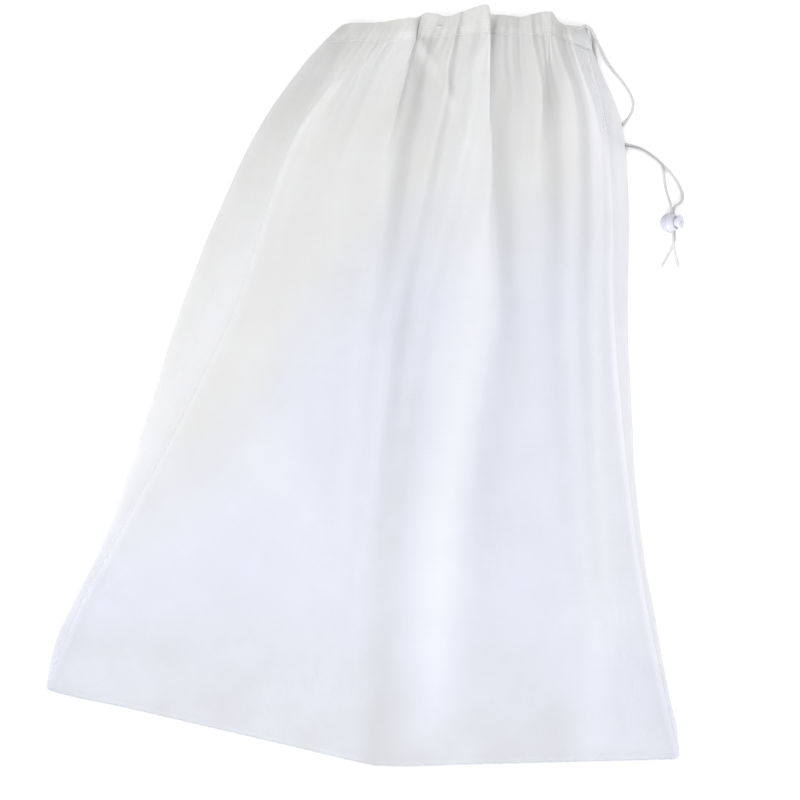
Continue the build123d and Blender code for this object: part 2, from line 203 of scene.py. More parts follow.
def sheerCloth(name, cloth):
    # polyester voile mesh, woven of fine twisted thread: a soft matt white that the table shows through,
    # with faint crossed threads and slow uneven density; its tone is shifted by gather (greyer above 0,
    # towards the crest colour below), which holds painted shade and painted highlight, and by slack
    # (from the low to the high colour), which holds painted shade
    m = newMaterial(name)
    uv = addNode(m, "ShaderNodeTexCoord").outputs["UV"]
    gatherAndPaintedLight = addNode(m, "ShaderNodeAttribute", dict(attribute_name="gatherAndPaintedLight")).outputs["Fac"]
    turns = 2 * math.pi / 20 / (cloth["thread"] * mm)  # the wave texture turns 20 times its scale
    across = addNode(
        m, "ShaderNodeTexWave", dict(bands_direction="X"), Vector=uv, Scale=turns, Distortion=0.6,
        Detail=1.0, Detail_Scale=0.5,
    ).outputs["Fac"]
    along = addNode(
        m, "ShaderNodeTexWave", dict(bands_direction="Y"), Vector=uv, Scale=turns, Distortion=0.6,
        Detail=1.0, Detail_Scale=0.5,
    ).outputs["Fac"]
    threads = addNode(m, "ShaderNodeMath", dict(operation="MAXIMUM"), i0=across, i1=along).outputs[0]
    place = addNode(m, "ShaderNodeTexCoord").outputs["Object"]
    uneven = addNode(
        m, "ShaderNodeTexNoise", Vector=place, Scale=28.0, Detail=3.0, Roughness=0.55
    ).outputs["Fac"]
    tone = addNode(
        m, "ShaderNodeMapRange", Value=uneven, i1=0.3, i2=0.7, i3=-cloth["uneven"], i4=cloth["uneven"]
    ).outputs[0]
    mixBy = addNode(m, "ShaderNodeMath", dict(operation="ADD"), i0=gatherAndPaintedLight, i1=tone).outputs[0]
    slackAndPaintedShade = addNode(m, "ShaderNodeAttribute", dict(attribute_name="slackAndPaintedShade")).outputs["Fac"]
    slackUneven = addNode(m, "ShaderNodeMath", dict(operation="ADD"), i0=slackAndPaintedShade, i1=tone).outputs[0]
    # slack cloth greys towards the high colour: its layers lie closer, plus painted shade
    greyed = addNode(
        m, "ShaderNodeMix", dict(data_type="RGBA"), i0=slackUneven, i6=cloth["low"], i7=cloth["high"]
    ).outputs[2]
    # painted highlight: below 0 the tone goes towards the crest colour
    lit = addNode(m, "ShaderNodeMapRange", Value=mixBy, i1=0.0, i2=-1.0, i3=0.0, i4=1.0).outputs[0]
    lighter = addNode(
        m, "ShaderNodeMix", dict(data_type="RGBA"), i0=lit, i6=greyed, i7=cloth["crest"]
    ).outputs[2]
    # painted shade: above 0 the tone goes towards the shade colour
    deep = addNode(m, "ShaderNodeMapRange", Value=mixBy, i1=0.0, i2=1.0, i3=0.0, i4=1.0).outputs[0]
    colour = addNode(
        m, "ShaderNodeMix", dict(data_type="RGBA"), i0=deep, i6=lighter, i7=cloth["shade"]
    ).outputs[2]
    close = addNode(
        m, "ShaderNodeMath", dict(operation="MULTIPLY_ADD"), i0=slackAndPaintedShade, i1=cloth["slackCover"], i2=mixBy
    ).outputs[0]
    base = addNode(
        m, "ShaderNodeMapRange", Value=close, i1=0.0, i2=1.0, i3=cloth["cover"], i4=cloth["coverGathered"]
    ).outputs[0]
    thick = addNode(
        m, "ShaderNodeMapRange", Value=threads, i1=0.0, i2=1.0,
        i3=-cloth["weaveDepth"], i4=cloth["weaveDepth"],
    ).outputs[0]
    cover = addNode(
        m, "ShaderNodeMath", dict(operation="ADD", use_clamp=True), i0=base, i1=thick
    ).outputs[0]
    bump = addNode(
        m, "ShaderNodeBump", Height=threads, Strength=0.12, Distance=cloth["relief"]
    ).outputs[0]
    threadShader = addNode(
        m, "ShaderNodeBsdfPrincipled", Base_Color=colour, Roughness=cloth["roughness"], IOR=cloth["ior"],
        Sheen_Weight=cloth["sheen"], Sheen_Roughness=0.5, Normal=bump,
    ).outputs[0]
    through = addNode(m, "ShaderNodeBsdfTranslucent", Color=colour, Normal=bump).outputs[0]
    woven = addNode(m, "ShaderNodeMixShader", i0=cloth["glow"], i1=threadShader, i2=through).outputs[0]
    holes = addNode(m, "ShaderNodeBsdfTransparent").outputs[0]
    return surface(m, addNode(m, "ShaderNodeMixShader", i0=cover, i1=holes, i2=woven).outputs[0])


def plainSolid(name, colour, spot, roughness, ior, scale, depth, metallic=0.0, sheen=0.0, coat=0.0):
    # a solid surface: a base colour that wanders slowly towards a second one, and fine relief from noise
    m = newMaterial(name)
    place = addNode(m, "ShaderNodeTexCoord").outputs["Object"]
    patches = addNode(m, "ShaderNodeTexNoise", Vector=place, Scale=scale / 6, Detail=3.0).outputs["Fac"]
    grain = addNode(m, "ShaderNodeTexNoise", Vector=place, Scale=scale, Detail=2.0).outputs["Fac"]
    mixed = addNode(
        m, "ShaderNodeMix", dict(data_type="RGBA"), i0=patches, i6=colour, i7=spot
    ).outputs[2]
    rough = addNode(
        m, "ShaderNodeMapRange", Value=grain, i1=0.3, i2=0.7, i3=roughness - 0.06, i4=roughness + 0.06
    ).outputs[0]
    bump = addNode(m, "ShaderNodeBump", Height=grain, Strength=0.2, Distance=depth * mm).outputs[0]
    shader = addNode(
        m, "ShaderNodeBsdfPrincipled", Base_Color=mixed, Roughness=rough, IOR=ior, Metallic=metallic,
        Sheen_Weight=sheen, Coat_Weight=coat, Normal=bump,
    ).outputs[0]
    return surface(m, shader)


# polyester voile of the two panels
panelVoile = sheerCloth("polyesterVoileMesh", meshCloth)
# the same voile turned over into the casing, two layers thick, so whiter and closer
casingVoile = sheerCloth("foldedVoileCasing", dict(meshCloth, cover=0.63, coverGathered=0.84))
# seam allowances: four layers of voile, overlocked, nearly opaque and the brightest cloth of the bag
seamVoile = sheerCloth(
    "overlockedVoileSeam", dict(meshCloth, cover=0.26, coverGathered=0.3, low="#e9eaee", high="#e8e8e8")
)
# spun polyester sewing thread: matt, slightly hairy
sewingThread = plainSolid("spunPolyesterThread", "#c2c3c8", "#b8b9be", 0.7, 1.5, 900, 0.05, sheen=0.3)
# braided polypropylene cord: soft grey-white with a faint lustre on each strand
braidedCord = plainSolid("braidedPolypropyleneCord", "#b9b9ba", "#adadae", 0.55, 1.49, 700, 0.08, sheen=0.2)
# injection moulded polypropylene ball: cool white, satin, soft highlight
mouldedBall = plainSolid("mouldedPolypropyleneBall", "#b9b9c5", "#b0b0bd", 0.38, 1.49, 500, 0.02, coat=0.1)
# injection moulded acetal button: a touch glossier than the ball
mouldedButton = plainSolid("mouldedAcetalButton", "#c2c2cc", "#babac5", 0.3, 1.48, 500, 0.015, coat=0.15)
# drawn spring steel wire
springWire = plainSolid("drawnSpringSteel", "#b9bcc0", "#a4a8ad", 0.28, 1.5, 900, 0.01, metallic=1.0)
print("materials made")


cords = dict(
    diameter=2.6,
    braidDepth=0.06,  # share of the radius
    braidTurns=5,  # strands that cross on the way round
    braidPitch=4.5,  # along the cord for one strand's turn round its neighbours
    rounding=0.6,  # how far an end rounds off, as a share of the radius
    sides=20,
    # from the front of the casing, down beside the bag, back under its edge, then through the lock
    front=[
        (162.2, 320.5, 15.233), (166.5, 320.0, 11.867), (170.6, 315.0, 8.6), (176.4, 305.0, 4.4),
        (184.5, 290.5, 1.3), (202.0, 271.5, 1.3), (209.6, 258, 1.3), (206.7, 245.1, 1.3), (196.6, 234, 1.3),
        (196.6, 226.5, 1.3), (201.5, 221.4, 1.3), (215.5, 220.1, 1.3), (231, 210.9, 1.3),
        (245.5, 197.3, 1.3), (254.6, 184.5, 1.3), (256.2, 174.5, 3.6), (246.867, 168.574, 9.389),
        (247.723, 160, 9.389), (248.921, 148, 9.389), (249.867, 138.519, 9.389), (245.8, 127.5, 3.0),
        (240.4, 116.3, 1.3),
    ],
    # from the back of the casing, under the bag's edge, and beside the first to the lock
    back=[
        (162.2, 320.5, 7.122), (167.2, 320.5, 7.811), (170.5, 313.5, 4.6), (172.5, 301, 1.6),
        (175.8, 288, 1.3), (183.5, 268.5, 1.3), (190, 249, 1.3), (190.5, 231, 1.3), (194.5, 218.8, 1.3),
        (215.0, 218.4, 3.6), (230.0, 209.4, 3.7), (237.0, 203.0, 3.2), (239.6, 186.5, 1.8),
        (245.269, 168.414, 11.682), (246.628, 154.8, 11.682), (248.347, 137.567, 11.682),
        (251.3, 128.5, 5.5), (254.9, 116.6, 1.3),
    ],
    # inside the casing: along the front, round the closed end, and along the back
    inCasing=[
        (162.2, 320.5, 15.233), (156, 316.5, 19), (146, 313, 25.5), (128, 314, 28.6), (92, 314, 28.7),
        (56, 313, 28.7), (22, 309, 28.6), (-4, 304, 27.5), (-24, 303, 22), (-38, 303.5, 13),
        (-44, 303.5, 7), (-38, 303.5, 3.4), (-22, 303.5, 3.0), (-4, 304, 2.9), (22, 309, 2.9), (56, 313, 2.9),
        (92, 314, 2.9), (128, 314, 2.9), (148, 317, 3.4), (162.2, 320.5, 7.122),
    ],
)


def routeLine(points, smoothness=24):
    # the points, in millimetres, that the route's smooth NURBS spline passes through
    curve = bpy.data.curves.new("route", "CURVE")
    curve.dimensions = "3D"
    spline = curve.splines.new("NURBS")
    spline.points.add(len(points) - 1)
    spline.points.foreach_set("co", np.c_[np.array(points) * mm, np.ones(len(points))].ravel())
    spline.order_u = 3
    spline.use_endpoint_u = True
    spline.resolution_u = smoothness
    holder = bpy.data.objects.new("route", curve)
    scene.collection.objects.link(holder)
    traced = bpy.data.meshes.new_from_object(holder)
    line = np.empty(len(traced.vertices) * 3)
    traced.vertices.foreach_get("co", line)
    bpy.data.objects.remove(holder)
    bpy.data.curves.remove(curve)
    bpy.data.meshes.remove(traced)
    return line.reshape(-1, 3) / mm


def framesAlong(line, upright):
    # at each point: the way on, the way aside (level with upright's plane) and the way up
    on = np.gradient(line, axis=0)
    on /= np.linalg.norm(on, axis=1)[:, None]
    aside = np.cross(on, upright)
    aside /= np.linalg.norm(aside, axis=1)[:, None]
    return on, aside, np.cross(aside, on)


def tubeAlong(name, line, r, angle, upright):
    # a ring carried along the line, centre + r (aside cos a + up sin a), with its two ends closed
    _, aside, up = framesAlong(line, upright)
    ring = line[:, None] + r[..., None] * (
        aside[:, None] * np.cos(angle)[..., None] + up[:, None] * np.sin(angle)[..., None]
    )
    rows, sides = r.shape
    faces = gridFaces(rows, sides, closedColumns=True, turned=True).tolist()
    faces.append(list(range(sides)))
    faces.append(list(range(rows * sides - 1, rows * sides - 1 - sides, -1)))
    return makeMesh(name, ring.reshape(-1, 3), faces)


def makeBraid(name, line, upright=(0, 0, 1)):
    # a tube with r = R (1 + depth cos(n a + k s) cos(n a - k s)), strands spiralling both ways, and
    # both ends rounded off as a quarter circle
    radius = cords["diameter"] / 2
    run = np.r_[0, np.cumsum(np.linalg.norm(np.diff(line, axis=0), axis=1))]
    toEnd = np.minimum(run, run[-1] - run)
    nearEnd = np.clip(toEnd / (cords["rounding"] * radius), 0, 1)
    closing = np.sqrt(np.clip(1 - (1 - nearEnd) ** 2, 0.01, 1))
    angle = np.linspace(0, 2 * np.pi, cords["sides"], endpoint=False)[None, :]
    spiral = 2 * np.pi * run[:, None] / cords["braidPitch"]
    strands = cords["braidTurns"] * angle
    swell = 1 + cords["braidDepth"] * (np.cos(strands + spiral) * np.cos(strands - spiral) - 1)
    r = radius * closing[:, None] * swell
    return tubeAlong(name, line, r, angle, upright)


frontLine = routeLine(cords["front"])
backLine = routeLine(cords["back"])
frontTail = makeBraid("frontTail", frontLine)
backTail = makeBraid("backTail", backLine)
casingCord = makeBraid("casingCord", routeLine(cords["inCasing"]), upright=(0, 1, 0))
for piece, node in [(frontTail, "front_cord_tail"), (backTail, "back_cord_tail"), (casingCord, "drawcord")]:
    piece.data.materials.append(braidedCord)
    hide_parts(node)
    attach(piece, "bag")

# cord lock: the ball and its button are the CAD's own, with their finishes
for name, finish in [("cord_lock_barrel", mouldedBall), ("cord_lock_plunger", mouldedButton)]:
    nodes[name].data.materials.clear()
    nodes[name].data.materials.append(finish)

spring = dict(
    centre=(244.8, 154.8, 8.7),  # of the lock
    axis=(0.81511, 0.08136, 0.57358),  # the way the button comes out
    low=-6.25,  # from the lock's centre, along the axis
    high=-1.45,
    radius=2.1,
    wire=0.5,
    turns=5,
    keep=0.56,  # of its length, with the button pressed home
)


def coilSpring(name):
    # a helix about the axis, centre + axis h + radius (cos 2πnt aside + sin 2πnt across), whose rise h
    # eases in and out so that the end turns lie close
    axis = np.array(spring["axis"]) / np.linalg.norm(spring["axis"])
    aside = np.cross(axis, (0, 0, 1)) / np.linalg.norm(np.cross(axis, (0, 0, 1)))
    across = np.cross(axis, aside)
    t = np.linspace(0, 1, spring["turns"] * 28)[:, None]
    rise = spring["low"] + (spring["high"] - spring["low"]) * (0.55 * ramp(t) + 0.45 * t)
    around = 2 * np.pi * spring["turns"] * t
    turning = spring["radius"] * (aside * np.cos(around) + across * np.sin(around))
    line = np.array(spring["centre"]) + axis * rise + turning
    angle = np.linspace(0, 2 * np.pi, 10, endpoint=False)[None, :]
    return tubeAlong(name, line, np.full((len(line), 10), spring["wire"] / 2), angle, axis)


lockSpring = coilSpring("lockSpring")
lockSpring.data.materials.append(springWire)
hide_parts("cord_lock_spring")
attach(lockSpring, "cord_lock")
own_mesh(lockSpring)
print("cord lock made")

print("cords made")


# the bag's outline, seen from above, in millimetres
outline = dict(
    # (y, x) down each side, and (x, y) along the hem and the two edges of the casing
    left=[
        (-277.7, -276.4), (-241, -271), (-201, -256), (-161, -238), (-121, -224), (-81, -212), (-41, -201),
        (-1, -191), (39, -181), (79, -169), (119, -156), (159, -141), (199, -125), (239, -104), (259, -91),
        (279, -77), (296, -63),
    ],
    right=[
        (-310.5, 278.4), (-281, 273.7), (-261, 267.7), (-221, 257.7), (-181, 248.7), (-141, 238.7),
        (-101, 231.7), (-61, 225.7), (-21, 221.7), (19, 217.7), (59, 213.7), (99, 211.7), (139, 210.7),
        (179, 207.7), (199, 205.7), (220, 203), (236, 199.8), (259, 191.2), (279, 181), (300, 171.2),
    ],
    hem=[
        (-276.4, -277.7), (-262, -281.4), (-200, -291.5), (-129.6, -304.2), (-50, -318.5), (0, -327.6),
        (16, -329.6), (34, -329.2), (90, -325), (148.2, -320.6), (268, -311.6), (278.4, -310.5),
    ],
    top=[
        (-50, 309.5), (-46, 311.8), (-39.7, 312.5), (-19.4, 310.2), (-1.3, 313.9), (15.1, 316.1),
        (29.4, 322), (42.4, 320.3), (56.9, 324.7), (69.4, 329.9), (75, 329.2), (80.5, 324), (108.3, 323.1),
        (122.7, 327.5), (131.9, 327.4), (140.5, 320.6), (146, 318.5), (157, 320.2), (165, 319.2),
    ],
    stitched=[
        (-63, 296), (-40, 294.5), (-19.4, 293), (0, 294.5), (17, 297.5), (42, 302.5), (70, 305.5),
        (100, 306), (131, 306.5), (150, 303.5), (171.2, 300),
    ],
)


def outlineRow(u, f):
    # x and y at u across, 0 to 1, and f up, 0 at the hem, 1 at the casing's stitching, 2 at its top edge:
    # each row runs straight from side to side, and each column is shared out between the hem and the
    # stitching
    stitchLeft, stitchRight = outline["stitched"][0], outline["stitched"][-1]
    hemLeft, hemRight = outline["hem"][0], outline["hem"][-1]
    topLeft, topRight = outline["top"][0], outline["top"][-1]
    body, over = np.clip(f, 0, 1), np.clip(f - 1, 0, 1)
    xLeft = smoothLine(outline["left"], hemLeft[1] + (stitchLeft[1] - hemLeft[1]) * body)
    xRight = smoothLine(outline["right"], hemRight[1] + (stitchRight[1] - hemRight[1]) * body)
    xLeft = xLeft + (topLeft[0] - stitchLeft[0]) * over
    xRight = xRight + (topRight[0] - stitchRight[0]) * over
    x = xLeft + (xRight - xLeft) * u
    hemY = smoothLine(outline["hem"], hemLeft[0] + (hemRight[0] - hemLeft[0]) * u)
    stitchY = smoothLine(outline["stitched"], stitchLeft[0] + (stitchRight[0] - stitchLeft[0]) * u)
    topY = smoothLine(outline["top"], topLeft[0] + (topRight[0] - topLeft[0]) * u)
    y = hemY + (stitchY - hemY) * body + (topY - stitchY) * over
    return x, y, xLeft, xRight, y - hemY


lie = dict(
    crown=29,  # height of the upper layer in the middle of the bag
    domeFlatness=3.4,  # the higher, the flatter the top and the steeper the sides
    domeRoundness=0.8,  # below 1 it comes up steeply from the sides
    hemReach=75,  # how far from the hem the layers take to part
    mouthHeight=28.7,  # upper casing's cord above the table
    mouthEnd=8.5,  # the same near the two ends of the casing
    mouthTip=6.5,  # and at its very ends
    tipShare=0.03,
    mouthRise=0.27,  # share of the half width over which the mouth arches up
    mouthBlend=0.30,  # share of the length over which the mouth's shape takes over
    foldFade=0.22,  # share of the half width over which folds fade towards the sides
    underside=0.5,  # the lower layer above the table
    turnUp=22,  # how far in from the sides the lower layer starts to turn up
    lowerTucks=(2.5, 0.8, 21),  # lift of the lower layer at the mouth, its tucks' height and cloth in one
    lowerMouth=0.14,  # share of the length over which it lifts
    lowerLooks=(0.1, 0.5),  # its gather and slack
    overCords=(3.3, 195, 18, 46),  # its height over the cords; from which y, easing in over; reach
    sway=(0.45, 0.25),  # slow unevenness of the upper and of the lower layer
    seamRidge=(0.8, 3),  # height and half width of the ridge over a side seam
    # (y, height) of the fold at each side
    leftEdge=[(-280, 1.2), (-200, 2.2), (0, 3.5), (200, 4.5), (296, 6.5)],
    rightEdge=[(-312, 1.2), (-200, 2.2), (0, 3.0), (150, 4.2), (200, 5.6), (300, 6.5)],
    # (y, x) where the sides' seams have rolled onto the top
    leftSeam=[
        (-275.9, -275.2), (-246.6, -265), (-196, -246.6), (-154.9, -226), (-108.5, -204), (-54.9, -178.8),
        (7.4, -151.5), (69.7, -125.9), (122.7, -111.2), (180.2, -94.9), (227.4, -74.7), (256.2, -55.2),
        (296, -37),
    ],
    rightSeam=[
        (-310, 277.4), (-297.7, 274.2), (-229, 255.1), (-147.2, 235.3), (-69.5, 220.9), (16.9, 207.8),
        (98.3, 198.4), (155.7, 195.5), (216.3, 189), (259.4, 179.8), (300, 167),
    ],
    # each long fold: (y, x) of its line, (y, value) of its height and of its left and right flank
    longFolds=[
        dict(
            line=[(-330, -8), (-168, -5), (-80.5, 1), (6.7, 3), (110.9, -2), (180.4, -5), (254.7, 3),
                  (300, 13)],
            height=[(-330, 1.5), (-250, 4.5), (-100, 8), (100, 10.5), (230, 10), (330, 4)],
            left=[(-330, 60), (100, 55), (300, 20)], right=[(-330, 22), (100, 20), (300, 8)],
        ),
        dict(
            line=[(-330, 76), (-268.7, 77), (-164.2, 78), (-111.9, 79), (-42, 82), (2.1, 88),
                  (54.8, 96), (81.1, 97), (155.7, 92), (226.8, 86), (284.1, 81), (330, 76)],
            height=[(-330, 2), (-250, 8), (-100, 14), (100, 15.5), (230, 14), (330, 5)],
            left=[(-330, 42), (100, 40), (300, 14)], right=[(-330, 30), (0, 20), (100, 12), (300, 8)],
        ),
        dict(
            line=[(-330, 150), (-143.4, 139.2), (-56, 144.4), (100.4, 136.5), (239.4, 128.6), (330, 131)],
            height=[(-330, 0), (-200, 1.5), (0, 3.5), (180, 5.5), (270, 6.5), (330, 3)],
            left=[(-330, 40), (100, 34), (300, 14)], right=[(-330, 30), (100, 22), (300, 8)],
        ),
        # the slack that hangs from the casing to the left side, and its lower edge
        dict(
            line=[(-330, -220), (-50, -190), (60, -112), (120, -96), (180, -78), (240, -50), (300, -14)],
            height=[(-330, 0), (0, 0), (50, 2), (150, 4), (250, 6), (330, 4)],
            left=[(-330, 40), (300, 30)], right=[(-330, 30), (300, 26)],
        ),
    ],
    bodyLength=576.6,  # of the lying bag, from the hem to the casing
    casingEase=0.45,  # how much flatter a gather is at the casing's top edge
    # each gather at the casing: x there, lean to the right for each millimetre down the bag, reach,
    # left and right flank, overlap and height
    pleats=[
        (-33, -0.8, 70, 20, 14, 0, 4), (-9, -0.9, 75, 13, 9, 2, 5), (17, -0.2, 85, 13, 9, 8, 8),
        (27, 0.55, 60, 5, 7, 2, 3), (52, 0.1, 55, 10, 8, 1, 3), (79, -0.45, 45, 6, 6, 0, 2.5),
        (79, 0.07, 120, 15, 8, 10, 9), (108, 0, 50, 13, 11, 1, 2.5), (131, -0.03, 75, 13, 8, 5, 6),
        (151, 0.5, 90, 12, 9, 1, 4),
    ],
    # small gathers all along the casing: cloth for one of them, its height, and how far down it reaches
    fineGathers=[(12.1, 0.4, 35), (17.3, 0.45, 45), (26.3, 1.0, 90), (58, 3.3, 230)],
    # (x, y) above which the cloth hangs slack and greys: its layers lie closer, and painted shade where it
    # tilts away from the light
    slackLine=[(-300, -170), (-200, -130), (-150, -100), (-110, -60), (-85, -5), (-60, 38), (-32, 66),
               (-8, 98), (40, 120), (100, 110), (150, 130), (300, 110)],
    slackDepth=3.0,
    slackFall=60,  # how far beyond the line it takes to hang to its full depth
    slackGreyAndShade=(60, 150),  # the grey starts this far before the line, and takes this far in all
    # tone offsets from here on, painted through the gather attribute: grey above 0, light below; besides
    # closer cloth they hold painted shade and painted highlight
    hemGrey=0.5,  # near the hem the layers lie flat on each other
    hemGreyReach=160,
    mouthGrey=0.08,
    mouthGreyShare=0.28,  # of the bag's length
    sideLight=(0.14, 0.28),  # the left and the right side roll over towards the light
    seamLight=0.4,  # and so does the ridge over each seam
    # streaks of painted shade and painted highlight along the folds: greyer, closer cloth where a valley or
    # flank is turned from the light, lighter on crests that catch it
    paintedLightStreaks=[
        # painted shade in the valley right of the middle fold, turning to a faint painted highlight partway
        # up
        dict(
            line=[(-330, 12), (-168, 13), (0, 21), (110, 17), (180, 14), (250, 18), (300, 24)],
            left=11, right=28,
            amount=[(-330, 0.3), (-60, 0.3), (30, 0.15), (90, 0), (160, -0.12), (240, 0.2),
                    (290, 0.2), (330, 0)],
        ),
        # painted highlight on the crest of the largest fold
        dict(
            line=[(-330, 60), (-150, 62), (0, 72), (80, 84), (160, 82), (300, 76)],
            left=26, right=13,
            amount=[(-330, 0), (-290, -0.25), (-200, -0.55), (0, -0.6), (120, -0.5), (230, -0.4),
                    (290, -0.2), (330, 0)],
        ),
        # painted shade right of it, towards the mouth
        dict(
            line=[(-330, 110), (0, 110), (100, 114), (300, 95)],
            left=8, right=26,
            amount=[(-200, 0), (0, 0.05), (150, 0.05), (300, 0.3)],
        ),
        # painted highlight on the crest from the casing down to the left
        dict(
            line=[(100, -130), (180, -96), (228, -62), (276, -13), (303, 14)],
            left=16, right=20,
            amount=[(90, 0), (150, -0.1), (230, -0.25), (300, -0.3), (330, 0)],
        ),
        # painted shade on the side that falls away left of it
        dict(
            line=[(100, -150), (199, -106), (259, -74), (300, -46)],
            left=34, right=30,
            amount=[(90, 0), (180, 0.35), (260, 0.55), (330, 0.55)],
        ),
        # painted shade in the gather near the right end
        dict(
            line=[(220, 138), (300, 146)],
            left=14, right=12,
            amount=[(220, 0), (290, 0.75), (330, 0.8)],
        ),
        # between the two folds the cloth falls into shade in a narrow wedge from the casing
        dict(
            line=[(60, 22), (180, 14), (250, 24), (300, 21)],
            left=7, right=5,
            amount=[(60, 0), (170, 0.1), (260, 0.35), (300, 0.45), (330, 0.2)],
        ),
        # painted highlight on the roll of the left side
        dict(
            line=[(-330, -290), (-200, -262), (-50, -190), (60, -142), (150, -112)],
            left=14, right=12,
            amount=[(-330, 0), (-250, -0.05), (-200, -0.2), (-60, -0.4), (40, -0.5), (90, -0.45),
                    (150, -0.1), (200, 0)],
        ),
        # painted highlight on the right flank below the casing
        dict(
            line=[(150, 200), (240, 184), (300, 160)],
            left=16, right=14,
            amount=[(140, -0.2), (230, -0.85), (300, -0.6), (330, -0.3)],
        ),
        # painted highlight on the ridge of the right side
        dict(
            line=[(-310, 280), (-229, 258), (-147, 238), (-69, 224), (17, 211), (98, 202)],
            left=6, right=9,
            amount=[(-310, -0.2), (0, -0.4), (98, 0)],
        ),
        # painted highlight on the slack left of the middle
        dict(
            line=[(-120, -90), (-10, -105), (40, -112)],
            left=26, right=34,
            amount=[(-150, 0), (-60, -0.25), (0, -0.15), (60, 0)],
        ),
        # painted highlight on two short crests at the casing
        dict(
            line=[(260, 58), (303, 26)],
            left=4, right=5,
            amount=[(250, 0), (275, -0.2), (310, -0.2)],
        ),
        dict(
            line=[(260, 62), (303, 84)],
            left=5, right=4,
            amount=[(250, 0), (275, -0.2), (310, -0.2)],
        ),
    ],
)
flatWidth, flatLength, casingLength = 559, 620, 19  # of the cloth laid flat


def pleatedSheet(u, f):
    # upper layer: height = dome × hem lift, blended into the mouth's arch, plus bell-shaped long folds,
    # plus gathers that carry x back over itself by -overlap t exp(-t²), plus fine sine gathers, plus a
    # slow sway; with it, its looks: gather is all tone offsets added up, painted shade and painted
    # highlight among them, and slack, which rises past the slack line, also carries painted shade
    x, y, xLeft, xRight, fromHem = outlineRow(u, f)
    s = np.abs(2 * u - 1)  # 0 in the middle, 1 at both sides
    lift = 1 - np.exp(-fromHem / lie["hemReach"])
    edge = np.where(u < 0.5, smoothLine(lie["leftEdge"], y), smoothLine(lie["rightEdge"], y))
    body = np.clip(f, 0, 1)
    swell = np.clip(1 - s ** lie["domeFlatness"], 0, 1) ** lie["domeRoundness"]
    dome = edge + (lie["crown"] - edge) * swell * lift
    arch = lie["mouthEnd"] + (lie["mouthHeight"] - lie["mouthEnd"]) * ramp((1 - s) / lie["mouthRise"])
    tip = np.clip((1 - s) / lie["tipShare"], 0, 1)
    arch = lie["mouthTip"] + (arch - lie["mouthTip"]) * tip
    mouth = ramp((body - 1 + lie["mouthBlend"]) / lie["mouthBlend"])
    z = dome + (arch - dome) * mouth
    inside = ramp((1 - s) / lie["foldFade"])
    aboveSlack = y - smoothLine(lie["slackLine"], x)
    z = z - lie["slackDepth"] * ramp(aboveSlack / lie["slackFall"]) * (1 - mouth) * inside
    for fold in lie["longFolds"]:
        d = x - smoothLine(fold["line"], y)
        shape = bell(d, smoothLine(fold["left"], y), smoothLine(fold["right"], y))
        z = z + smoothLine(fold["height"], y) * shape * inside * lift
    shift = np.zeros_like(z)
    below = (1 - body) * lie["bodyLength"]
    gathering = 1 - lie["casingEase"] * np.clip(f - 1, 0, 1)
    for place, lean, reach, left, right, overlap, height in lie["pleats"]:
        d = x - place - lean * np.minimum(below, 1.6 * reach)
        held = np.exp(-((below / reach) ** 1.4)) * gathering
        t = d / (1.3 * right)
        shift = shift - 1.5 * overlap * held * t * np.exp(-t * t) * inside
        z = z + height * held * bell(d + 0.6 * right, left, right) * inside
    cloth = u * flatWidth
    for k, (wave, height, reach) in enumerate(lie["fineGathers"]):
        # the waves wander in phase, more so further down, so no two gathers are alike
        wander = 2.4 * np.sin(cloth / (wave * 2.3) + k) + 0.015 * below * np.sin(cloth / 41 + 2 * k)
        fine = height * np.exp(-((below / reach) ** 1.6)) * (0.3 + 0.7 * gathering)
        z = z + fine * np.sin(2 * np.pi * cloth / wave + wander) * inside
    slow = np.sin(x / 31 + y / 57 + 1.0) * np.sin(y / 44 - x / 83) + 0.6 * np.sin(x / 17 - y / 39 + 2)
    z = z + lie["sway"][0] * slow * inside * lift
    ridge, halfWidth = lie["seamRidge"]
    seamLines = [smoothLine(lie[seam], y) for seam in ("leftSeam", "rightSeam")]
    onSeam = sum(bell(x - line, halfWidth, halfWidth) for line in seamLines)
    z = z + ridge * onSeam * lift * ramp((1 - body) / 0.05)
    # painted shade: past the slack line the cloth greys, besides its layers lying closer
    before, greying = lie["slackGreyAndShade"]
    hangingAndShaded = ramp((aboveSlack + before) / greying)
    # the tone offsets: greyer where the cloth lies close at the hem and mouth, painted highlight on the seams
    # and sides, painted shade and painted highlight along the folds
    toneAndPaintedLight = lie["hemGrey"] * ramp(1 - fromHem / lie["hemGreyReach"])
    toneAndPaintedLight = toneAndPaintedLight + lie["mouthGrey"] * ramp((f - 1 + lie["mouthGreyShare"]) / lie["mouthGreyShare"])
    toneAndPaintedLight = toneAndPaintedLight - lie["seamLight"] * onSeam
    toneAndPaintedLight = toneAndPaintedLight - np.where(u < 0.5, *lie["sideLight"]) * ramp((s - 0.55) / 0.35)
    # painted shade and painted highlight of the folds, added streak by streak
    for paintedStreak in lie["paintedLightStreaks"]:
        d = x - smoothLine(paintedStreak["line"], y)
        toneAndPaintedLight = toneAndPaintedLight + smoothLine(paintedStreak["amount"], y) * bell(d, paintedStreak["left"], paintedStreak["right"])
    return np.stack([x + shift, y, z], axis=-1), np.stack([toneAndPaintedLight, hangingAndShaded], axis=-1)


